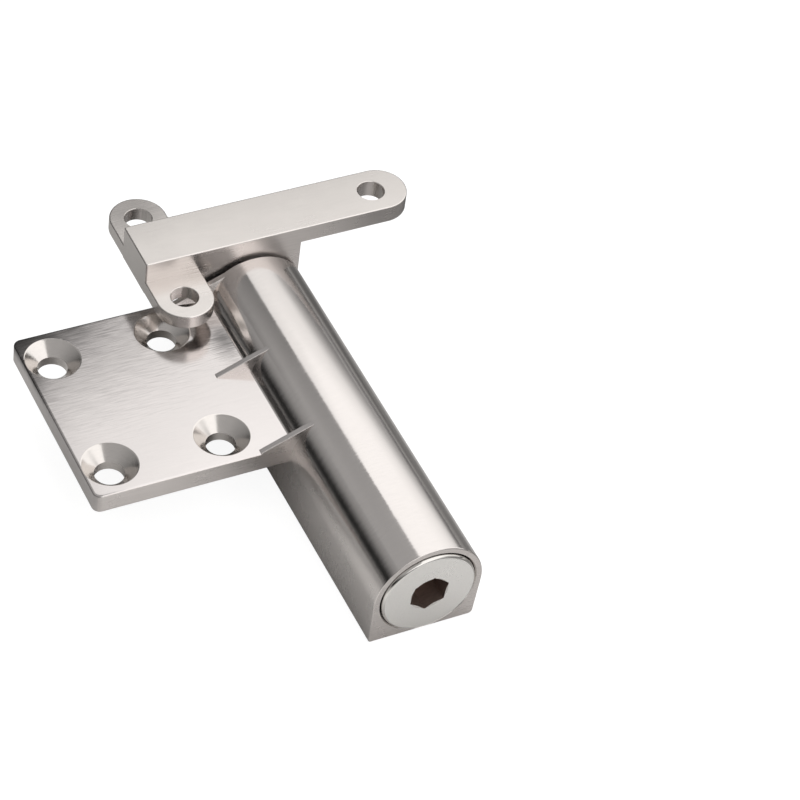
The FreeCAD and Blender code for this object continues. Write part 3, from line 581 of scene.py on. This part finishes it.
# Four screw holes with 90 degree countersinks, whose edges are broken by a finer chamfer
screw_radius = 3.3 * mm
sink_radius = 6.15 * mm
sink_depth = sink_radius - screw_radius
sink_break = 0.16 * mm
break_rise = sink_break / 4
break_radius = sink_radius + sink_break * 1.2
hole_left = leaf_edge + 6.5 * mm
hole_near = leaf_near + 8.1 * mm
hole_gap_across = 25.5 * mm
hole_gap_along = 33.1 * mm
screw_holes = [(across, along) for across in (hole_left, hole_left + hole_gap_across)
               for along in (hole_near, hole_near + hole_gap_along)]
screw_profile = [
    (leaf_under - overrun, screw_radius),
    (leaf_top - sink_depth, screw_radius),
    (leaf_top - sink_break, sink_radius - sink_break),
    (leaf_top + break_rise, break_radius),
    (leaf_top + overrun, break_radius),
]
for screw_hole in screw_holes:
    combine(casting, turned("screw_hole", screw_profile, screw_hole, "Z", around=96), "DIFFERENCE")

# The bore: a seat for the plug, the oil cylinder, and the bush's hole in the end wall
bore_radius = 9.5 * mm
mouth_radius = 10.95 * mm
mouth_break = 0.25 * mm
plug_seat = near_end + 4.0 * mm
end_wall = 6.0 * mm
bush_radius = 6.55 * mm
bore_profile = [
    (near_end - overrun, mouth_radius + mouth_break + overrun),
    (near_end + mouth_break, mouth_radius),
    (plug_seat, mouth_radius),
    (plug_seat, bore_radius),
    (far_end - end_wall, bore_radius),
    (far_end - end_wall, bush_radius),
    (far_end + overrun, bush_radius),
]
combine(casting, turned("bore", bore_profile, (0.0, axis_height), "Y"), "DIFFERENCE")

# A noise pattern's values lie nearly all between the first two, and marks are palest from the third
noise_low, noise_high, mark_pale = 0.3, 0.7, 0.6
# Cloudy spots are this wide, and make the roughness from the first to the second share of its
# value. The marks add up to the third share
cloud_width = 11.1 * mm
smooth_share, rough_share, marks_share = 0.7, 1.1, 0.3
# How far a point lies from a painted dark patch's middle, as a share of its reach, grows by up to
# the third with the marks. The painted shade is whole up to the first, and gone at the second
patch_whole, patch_gone, ragged = 0.4, 1.35, 0.9
# The marks spread a highlight across themselves: along Y, tipped a little up
spread_along, spread_up = 1.0, 0.25


def linear(code):
    """An sRGB hex colour as linear red, green, blue and 1, by the sRGB curve."""
    shares = np.array([int(code[i:i + 2], 16) for i in (1, 3, 5)]) / 255
    curve = np.where(shares > 0.04045, ((shares + 0.055) / 1.055) ** 2.4, shares / 12.92)
    return (*curve, 1.0)


def worked_metal(name, colour, roughness, stretch, grain_gap, groove_depth, anisotropic=0.0,
                 streaks=0.04, sway=0.0, turn=0.0, patches=(), dulled=None):
    """A plated or bare metal surface, whose tool marks are long along axes with a small stretch.

    Sway tilts each mark a little about its own line, and each patch (place, reach, depth) is
    painted shade or a painted dark reflection, from full depth at its place to none at its reach.
    Dulled (start, stop, more) makes it rougher from one place along X to another."""
    material = empty_material(name)
    tree = material.node_tree
    place = add_node(tree, "ShaderNodeTexCoord")
    marks_way = add_node(tree, "ShaderNodeMapping",
                         inputs={"Rotation": (0.0, 0.0, turn),
                                 "Scale": tuple(s / grain_gap for s in stretch)},
                         links={"Vector": place.outputs["Object"]})
    marks = add_node(tree, "ShaderNodeTexNoise",
                     inputs={"Scale": 1.0, "Detail": 3.0, "Roughness": 0.6},
                     links={"Vector": marks_way.outputs[0]})
    clouds = add_node(tree, "ShaderNodeTexNoise",
                      inputs={"Scale": 1 / cloud_width, "Detail": 3.0, "Roughness": 0.55},
                      links={"Vector": place.outputs["Object"]})
    dull = add_node(tree, "ShaderNodeMapRange",
                    inputs={"From Min": noise_low, "From Max": noise_high,
                            "To Min": roughness * smooth_share, "To Max": roughness * rough_share},
                    links={"Value": clouds.outputs["Fac"]})
    rough = add_node(tree, "ShaderNodeMath", {"operation": "MULTIPLY_ADD"},
                     inputs={1: roughness * marks_share},
                     links={0: marks.outputs["Fac"], 2: dull.outputs[0]})
    if dulled:
        start, stop, more = dulled
        along = add_node(tree, "ShaderNodeSeparateXYZ", links={0: place.outputs["Object"]})
        side = add_node(tree, "ShaderNodeMapRange", {"interpolation_type": "SMOOTHSTEP"},
                        inputs={"From Min": start, "From Max": stop, "To Max": more},
                        links={"Value": along.outputs["X"]})
        rough = add_node(tree, "ShaderNodeMath",
                         links={0: rough.outputs[0], 1: side.outputs[0]})
    tint = add_node(tree, "ShaderNodeMapRange",
                    inputs={"From Min": noise_low, "From Max": mark_pale,
                            "To Min": 1.0 - streaks},
                    links={"Value": marks.outputs["Fac"]})
    shade = add_node(tree, "ShaderNodeMix", {"data_type": "RGBA", "blend_type": "MULTIPLY"},
                     inputs={"Factor": 1.0, "A": linear(colour)},
                     links={"B": tint.outputs[0]})
    colour_out = shade.outputs["Result"]
    # Each patch darkens the colour with painted shade or a painted dark reflection
    for spot, reach, depth in patches:
        near = add_node(tree, "ShaderNodeMapping",
                        inputs={"Location": tuple(-s / r for s, r in zip(spot, reach)),
                                "Scale": tuple(1 / r for r in reach)},
                        links={"Vector": place.outputs["Object"]})
        far = add_node(tree, "ShaderNodeVectorMath", {"operation": "LENGTH"},
                       links={0: near.outputs[0]})
        uneven = add_node(tree, "ShaderNodeMath", {"operation": "MULTIPLY_ADD"},
                          inputs={1: ragged},
                          links={0: marks.outputs["Fac"], 2: far.outputs["Value"]})
        dark = add_node(tree, "ShaderNodeMapRange", {"interpolation_type": "SMOOTHSTEP"},
                        inputs={"From Min": patch_whole, "From Max": patch_gone,
                                "To Min": 1.0 - depth},
                        links={"Value": uneven.outputs[0]})
        shade = add_node(tree, "ShaderNodeMix", {"data_type": "RGBA", "blend_type": "MULTIPLY"},
                         inputs={"Factor": 1.0}, links={"A": colour_out, "B": dark.outputs[0]})
        colour_out = shade.outputs["Result"]
    groove = add_node(tree, "ShaderNodeBump",
                      inputs={"Strength": 1.0, "Distance": groove_depth},
                      links={"Height": marks.outputs["Fac"]})
    if sway:
        facing = add_node(tree, "ShaderNodeNewGeometry")
        axis = add_node(tree, "ShaderNodeCombineXYZ", inputs={"Y": 1.0})
        round_way = add_node(tree, "ShaderNodeVectorMath", {"operation": "CROSS_PRODUCT"},
                             links={0: axis.outputs[0], 1: facing.outputs["Normal"]})
        tilt = add_node(tree, "ShaderNodeMapRange",
                        inputs={"To Min": -sway, "To Max": sway},
                        links={"Value": marks.outputs["Fac"]})
        push = add_node(tree, "ShaderNodeVectorMath", {"operation": "SCALE"},
                        links={0: round_way.outputs[0], "Scale": tilt.outputs[0]})
        swayed = add_node(tree, "ShaderNodeVectorMath", {"operation": "ADD"},
                          links={0: facing.outputs["Normal"], 1: push.outputs[0]})
        even = add_node(tree, "ShaderNodeVectorMath", {"operation": "NORMALIZE"},
                        links={0: swayed.outputs[0]})
        tree.links.new(even.outputs[0], groove.inputs["Normal"])
    lean = add_node(tree, "ShaderNodeCombineXYZ", inputs={"Y": spread_along, "Z": spread_up})
    metal = add_node(tree, "ShaderNodeBsdfPrincipled",
                     inputs={"Metallic": 1.0, "Anisotropic": anisotropic},
                     links={"Base Color": colour_out, "Roughness": rough.outputs[0],
                            "Normal": groove.outputs[0], "Tangent": lean.outputs[0]})
    add_node(tree, "ShaderNodeOutputMaterial", links={"Surface": metal.outputs[0]})
    return material


# Real marks are finer than drawn here, where the gap between them is wide enough to show
marks_round = (0.12, 1.0, 0.12)
marks_across = (0.05, 1.0, 0.05)
marks_level = (0.05, 1.0, 1.0)
marks_upright = (0.3, 0.3, 1.0)
# Painted dark reflections on the leaf: its far left corner and edges, and beside the far rib
far_left = Vector((leaf_edge, far_end, leaf_top))
by_the_rib = Vector((leaf_root - 2 * mm, far_end - 14 * mm, leaf_top))
leaf_painted_reflections = [(far_left, Vector((34, 13, 3)) * mm, 0.65),
                (far_left, Vector((60, 40, 3)) * mm, 0.5),
                (far_left - Vector((0, 12, 0)) * mm, Vector((6, 13, 2)) * mm, 0.35),
                (far_left + Vector((25, 0, 0)) * mm, Vector((60, 1, 2)) * mm, 0.6),
                (far_left - Vector((0, 12, 0)) * mm, Vector((0.8, 18, 1.5)) * mm, 0.6),
                (by_the_rib, Vector((7, 12, 9)) * mm, 0.7)]
# The barrel was ground: it mirrors the room in soft bands, and is duller on the leaf's side
ground_nickel = worked_metal("ground_nickel", "#d8d3d0", roughness=0.13, stretch=marks_round,
                             grain_gap=0.35 * mm, groove_depth=0.0004 * mm, anisotropic=0.3,
                             streaks=0.03, sway=0.025, dulled=(-10.8 * mm, -12.2 * mm, 0.14))
# The leaf and ribs were brushed on a belt: fine streaks across, a little askew
# Its colour carries the painted dark reflections on the leaf
brushed_nickel = worked_metal("brushed_nickel", "#d6d1cf", roughness=0.14, stretch=marks_across,
                              grain_gap=0.22 * mm, groove_depth=0.001 * mm, anisotropic=0.5,
                              streaks=0.03, turn=math.radians(12.0), patches=leaf_painted_reflections)
# The faces across the axis were milled: duller, and darker in one patch of painted shade by the
# near ear
ear_painted_shade = (Vector((-10 * mm, far_end + 1.4 * mm, 23 * mm)), Vector((12, 1, 9)) * mm, 0.6)
milled_nickel = worked_metal("milled_nickel", "#e1dbd8", roughness=0.26, stretch=marks_level,
                             grain_gap=0.35 * mm, groove_depth=0.001 * mm, anisotropic=0.4,
                             streaks=0.06, patches=[ear_painted_shade])
# The screw holes were drilled and sunk: bright, with the cutter's marks round them
sunk_nickel = worked_metal("sunk_nickel", "#dad5d1", roughness=0.17, stretch=marks_upright,
                           grain_gap=0.3 * mm, groove_depth=0.0005 * mm)
# A face this near to a level lies on it, and one this far out is beside the barrel. A face whose
# direction has these shares of an axis lies along it, across it, and square to it
on_level = 0.05 * mm
beside_barrel = 0.02 * mm
lies_along, lies_across, lies_square = 0.1, 0.8, 0.95


def casting_finish(middles, ways):
    """0 for the ground barrel, 1 for the brushed leaf and ribs, 2 for faces across the axis, and
    3 for the turned insides of the screw holes."""
    on_leaf = (middles[:, 0] < -barrel_radius - beside_barrel) | (
        (middles[:, 0] < 0) & (np.abs(middles[:, 2] - leaf_top) < on_level))
    nearest = np.min([np.hypot(middles[:, 0] - across, middles[:, 1] - along)
                      for across, along in screw_holes], axis=0)
    sunk = (nearest < sink_radius + sink_break) & (np.abs(ways[:, 2]) < lies_square)
    finish = np.where(np.abs(ways[:, 1]) > lies_across, 2, np.where(on_leaf, 1, 0))
    return np.where(sunk & (middles[:, 2] > leaf_under), 3, finish)


finish_metal(casting, [ground_nickel, brushed_nickel, milled_nickel, sunk_nickel], casting_finish)
true_round(casting, barrel_radius, axis_height)
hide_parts("barrel_leaf")
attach(casting, "barrel")

# Bracket: a second casting, which is let into the frame. A bar crosses the barrel's end on a
# boss that holds the spindle, and two lower ears carry screws. Brushed and nickel plated alike.
low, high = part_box("bracket")
bar_left, bar_right = low.x, high.x
bar_near = 47.05 * mm
bar_far = 60.05 * mm
bar_top = high.z
bar_under = bar_top - 4.4 * mm
bar_half = (bar_far - bar_near) / 2
bar_mid = (bar_near + bar_far) / 2
bar_corner = 0.45 * mm
bar_round = 0.3 * mm
bar_plan = outline([
    (bar_left + bar_corner, bar_near + bar_corner, bar_corner, 180, 270),
    (bar_right - bar_half, bar_mid, bar_half, 270, 450),
    (bar_left + bar_corner, bar_far - bar_corner, bar_corner, 90, 180),
], degrees_apart=2.0)
bracket = prism("bracket_casting", bar_plan, bar_under, bar_top, "Z", bar_round)

# A block under the bar's left end joins the ears to it, and runs on into the boss
ear_half = 6.5 * mm
ear_across = bar_left + ear_half
ear_under = 20.1 * mm
ear_top = 23.5 * mm
ear_near = low.y + ear_half
ear_far = high.y - ear_half
join_depth = 0.8 * mm
boss_half = 11.8 * mm
block_lap = 1.5 * mm
block_right = -boss_half + block_lap
block_plan = rounded_box(bar_left + set_back, block_right, bar_near + set_back,
                         bar_far - set_back, bar_corner, bar_corner, degrees_apart=10.0)
combine(bracket, prism("block", block_plan, ear_under + set_back, bar_under + join_depth, "Z"),
        "UNION")

boss_base = 0.5 * mm
boss_lean = math.degrees(math.acos((axis_height - boss_base) / boss_half))
boss_section = outline([
    (-boss_half + bar_corner, bar_under + join_depth - bar_corner, bar_corner, 90, 180),
    (0.0, axis_height, boss_half, 180, 270 - boss_lean),
    (0.0, axis_height, boss_half, 270 + boss_lean, 360),
    (boss_half - bar_corner, bar_under + join_depth - bar_corner, bar_corner, 0, 90),
], degrees_apart=2.0)
combine(bracket, prism("boss", boss_section, bar_near + set_back, bar_far - set_back, "Y",
                       bar_round), "UNION")

ear_plan = outline([
    (ear_across, ear_near, ear_half, 180, 360),
    (ear_across, ear_far, ear_half, 0, 180),
], degrees_apart=3.0)
combine(bracket, prism("ears", ear_plan, ear_under, ear_top, "Z", bar_round), "UNION")

# Three plain screw holes, whose edges are broken by a chamfer
bracket_hole = 3.1 * mm
hole_break = 0.12 * mm
bar_hole = bar_right - bar_half - 1.9 * mm
for across, along, bottom, top in ((ear_across, ear_near, ear_under, ear_top),
                                   (ear_across, ear_far, ear_under, ear_top),
                                   (bar_hole, bar_mid, bar_under, bar_top)):
    hole_profile = [
        (bottom - overrun, bracket_hole + overrun + hole_break),
        (bottom + hole_break, bracket_hole),
        (top - hole_break, bracket_hole),
        (top + overrun, bracket_hole + overrun + hole_break),
    ]
    combine(bracket, turned("hole", hole_profile, (across, along), "Z", around=96), "DIFFERENCE")

# The boss is broached through with two flats for the spindle's tail, and drilled for its dowel
tail_radius = 4.62 * mm
tail_half = 3.62 * mm
tail_lean = math.degrees(math.acos(tail_half / tail_radius))
broach = outline([
    (0.0, axis_height, tail_radius, tail_lean, 180 - tail_lean),
    (0.0, axis_height, tail_radius, 180 + tail_lean, 360 - tail_lean),
], degrees_apart=3.0)
combine(bracket, prism("broach", broach, bar_near - overrun, bar_far + overrun, "Y"), "DIFFERENCE")
dowel_radius = 1.52 * mm
dowel_top = 18.0 * mm
dowel_profile = [(boss_base - overrun, dowel_radius), (dowel_top, dowel_radius)]
combine(bracket, turned("dowel_hole", dowel_profile, (0.0, bar_mid), "Z", around=48), "DIFFERENCE")


def bracket_finish(middles, ways):
    """0 for faces that the marks cross, 1 for faces across the axis."""
    return np.where(np.abs(ways[:, 1]) > lies_across, 1, 0)


# The bar and ears were brushed like the leaf: a little duller, with painted shade by the far ear
far_ear = Vector((ear_across, ear_far + 2 * mm, ear_top))
bar_nickel = worked_metal("bar_nickel", "#d9d4d0", roughness=0.22, stretch=marks_across,
                          grain_gap=0.3 * mm, groove_depth=0.001 * mm, anisotropic=0.5,
                          patches=[(far_ear, Vector((12, 9.5, 9)) * mm, 0.2)])
finish_metal(bracket, [bar_nickel, milled_nickel], bracket_finish)
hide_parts("bracket")
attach(bracket, "bracket")

# Adjuster plug: turned from steel bar and nickel plated. It stands just proud of the barrel, and
# a key in its hexagon socket turns it to set how fast the door closes.
low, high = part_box("adjuster_plug")
plug_face = low.y
plug_radius = high.x
plug_round = 0.8 * mm
rim_points = 9
head_back = plug_seat - 0.02 * mm
shank_radius = 9.4 * mm
shank_end = plug_seat + 6.0 * mm
seal_groove = 7.8 * mm
groove_near = plug_seat + 2.15 * mm
groove_far = plug_seat + 3.85 * mm
needle_radius = 1.8 * mm
needle_end = high.y
socket_half = 4.0 * mm
socket_lap = 0.05 * mm
socket_lead = 0.22 * mm
socket_mouth = 4.35 * mm
plug_profile = [
    (plug_face + socket_lead, socket_half - socket_lap),
    (plug_face, socket_mouth),
    *((plug_face + plug_round * (1 - math.cos(t)), plug_radius - plug_round * (1 - math.sin(t)))
      for t in np.linspace(0, math.pi / 2, rim_points)),
    (head_back, plug_radius),
    (head_back, shank_radius),
    (groove_near, shank_radius),
    (groove_near, seal_groove),
    (groove_far, seal_groove),
    (groove_far, shank_radius),
    (shank_end, shank_radius),
    (shank_end, needle_radius),
    (needle_end, needle_radius),
]
plug = turned("plug", plug_profile, (0.0, axis_height), "Y", around=160)

# The socket's corners are slightly rounded, as they are left by the broach. Angles in degrees
socket_turn = 22
socket_depth = 6.0 * mm
socket_corner = 0.25 * mm
half_side = 30
half_side_cosine = math.cos(math.radians(half_side))
corner_reach = (socket_half - socket_corner) / half_side_cosine
hexagon = outline([
    (corner_reach * math.cos(math.radians(a)),
     axis_height + corner_reach * math.sin(math.radians(a)),
     socket_corner, a - half_side, a + half_side)
    for a in range(socket_turn, socket_turn + 360, half_side * 2)
], degrees_apart=15.0)
combine(plug, prism("socket", hexagon, plug_face - overrun, plug_face + socket_depth, "Y"),
        "DIFFERENCE")
# The face was turned dull and pale, and its bevels and sides brighter. The socket is bare steel,
# rough and brownish from oil
turned_nickel = worked_metal("turned_nickel", "#fbf9f6", roughness=0.3, stretch=(1.0, 0.05, 1.0),
                             grain_gap=0.4 * mm, groove_depth=0.001 * mm)
bright_nickel = worked_metal("bright_nickel", "#dedbd7", roughness=0.12, stretch=(1.0, 0.05, 1.0),
                             grain_gap=0.4 * mm, groove_depth=0.001 * mm)
socket_steel = worked_metal("socket_steel", "#9a8880", roughness=0.5, stretch=(0.3, 1.0, 0.3),
                            grain_gap=0.4 * mm, groove_depth=0.002 * mm, streaks=0.2)


def plug_finish(middles, ways):
    """0 for the flat face, 1 for its bevels and sides, 2 for the walls and floor of the socket."""
    reach = np.hypot(middles[:, 0], middles[:, 2] - axis_height)
    inside = reach < socket_half / half_side_cosine + on_level
    deep = middles[:, 1] > plug_face + socket_lead + on_level
    walls = inside & (middles[:, 1] < plug_face + socket_depth + on_level * 2)
    walls &= (np.abs(ways[:, 1]) < lies_along) | deep
    return np.where(walls, 2, np.where(ways[:, 1] < -lies_square, 0, 1))


finish_metal(plug, [turned_nickel, bright_nickel, socket_steel], plug_finish)
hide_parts("adjuster_plug")
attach(plug, "plug")

# Spindle and bearing: hardened steel, ground after hardening. The spindle's tail is doweled into
# the bracket's boss, and the balls run between two races against the barrel's end wall.


def dress(material, *names):
    """Give kept nodes of the frame a material in every slot that they have."""
    for name in names:
        piece = nodes[name]
        if not piece.material_slots:
            piece.data.materials.append(material)
        for slot in piece.material_slots:
            slot.material = material


ground_steel = worked_metal("ground_steel", "#c6c4c0", roughness=0.2, stretch=(1.0, 1.0, 0.05),
                            grain_gap=0.4 * mm, groove_depth=0.001 * mm, streaks=0.05)
dress(ground_steel, "spindle", "spindle_dowel", "fixed_race", "thrust_balls", "turning_race",
      "piston", "cross_pin", "check_ball", "guide_plate", "guide_rods", "valve_retainer")

# Springs and snap ring: oil-tempered spring steel, wound or punched, left dark from its temper.
# The return spring is flat wire, and shortens towards its guide plate as the piston comes.
spring_steel = worked_metal("spring_steel", "#6f6b66", roughness=0.38, stretch=(0.3, 0.3, 0.3),
                            grain_gap=0.5 * mm, groove_depth=0.002 * mm, streaks=0.15)
dress(spring_steel, "check_spring", "snap_ring")
low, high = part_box("return_spring")
wire_outer = high.x
wire_inner = wire_outer - 2.2 * mm
wire_depth = 1.6 * mm
wire_corner = 0.3 * mm
coil_turns = 5.5
coil_steps = 350
wire, _ = rounded_box(0.0, wire_depth, wire_inner, wire_outer, wire_corner, wire_corner,
                      degrees_apart=22.5)


def coil(name, start, climb):
    """The wire's section of (along, radius) points wound about the barrel's axis.

    At a share s of its length it is turned to 90 degrees - 360 degrees * turns * s about the axis
    and moved along it by climb * s."""
    s = np.linspace(0, 1, coil_steps + 1)[:, None]
    angle = math.pi / 2 - 2 * math.pi * coil_turns * s
    along = start + wire[:, 0] + climb * s
    return solid(name, np.stack([wire[:, 1] * np.cos(angle), along,
                                 axis_height + wire[:, 1] * np.sin(angle)], axis=-1))


return_coil = coil("return_coil", low.y, high.y - low.y - wire_depth)
finish_metal(return_coil, [spring_steel])
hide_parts("return_spring")
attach(return_coil, "barrel")
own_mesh(return_coil)

# Bush and ball cage: sintered or pressed bronze, which is warm yellow and holds oil. The bush is
# pressed into the barrel's end wall, and the cage keeps the balls apart.
bronze = worked_metal("bronze", "#b58a52", roughness=0.36, stretch=(0.6, 0.6, 0.6),
                      grain_gap=0.4 * mm, groove_depth=0.002 * mm, streaks=0.12)
dress(bronze, "bearing_bush", "ball_cage")

# Face washer: dark nylon, moulded, which keeps the bracket's boss off the barrel's end as it
# turns. It has a slight sheen and a fine even grain.
tint_low = 0.9


def moulded(name, colour, roughness, grain_gap, grain_depth):
    """A moulded plastic or rubber with a fine even grain and a slightly clouded colour."""
    material = empty_material(name)
    tree = material.node_tree
    place = add_node(tree, "ShaderNodeTexCoord")
    grain = add_node(tree, "ShaderNodeTexNoise", inputs={"Scale": 1 / grain_gap, "Detail": 2.0},
                     links={"Vector": place.outputs["Object"]})
    bump = add_node(tree, "ShaderNodeBump", inputs={"Strength": 1.0, "Distance": grain_depth},
                    links={"Height": grain.outputs["Fac"]})
    tint = add_node(tree, "ShaderNodeMapRange",
                    inputs={"From Min": noise_low, "From Max": noise_high, "To Min": tint_low},
                    links={"Value": grain.outputs["Fac"]})
    shade = add_node(tree, "ShaderNodeMix", {"data_type": "RGBA", "blend_type": "MULTIPLY"},
                     inputs={"Factor": 1.0, "A": linear(colour)}, links={"B": tint.outputs[0]})
    body = add_node(tree, "ShaderNodeBsdfPrincipled", inputs={"Roughness": roughness},
                    links={"Base Color": shade.outputs["Result"], "Normal": bump.outputs[0]})
    add_node(tree, "ShaderNodeOutputMaterial", links={"Surface": body.outputs[0]})
    return material


nylon = moulded("nylon", "#3a3835", roughness=0.5, grain_gap=0.3 * mm, grain_depth=0.002 * mm)
dress(nylon, "face_washer")

# Seals: nitrile rubber rings, moulded and stretched into their grooves in the spindle's flange,
# the piston's head and the plug's shank. Black and dull.
nitrile = moulded("nitrile", "#1b1b1c", roughness=0.6, grain_gap=0.2 * mm, grain_depth=0.002 * mm)
dress(nitrile, "spindle_seal", "piston_seal", "plug_seal")
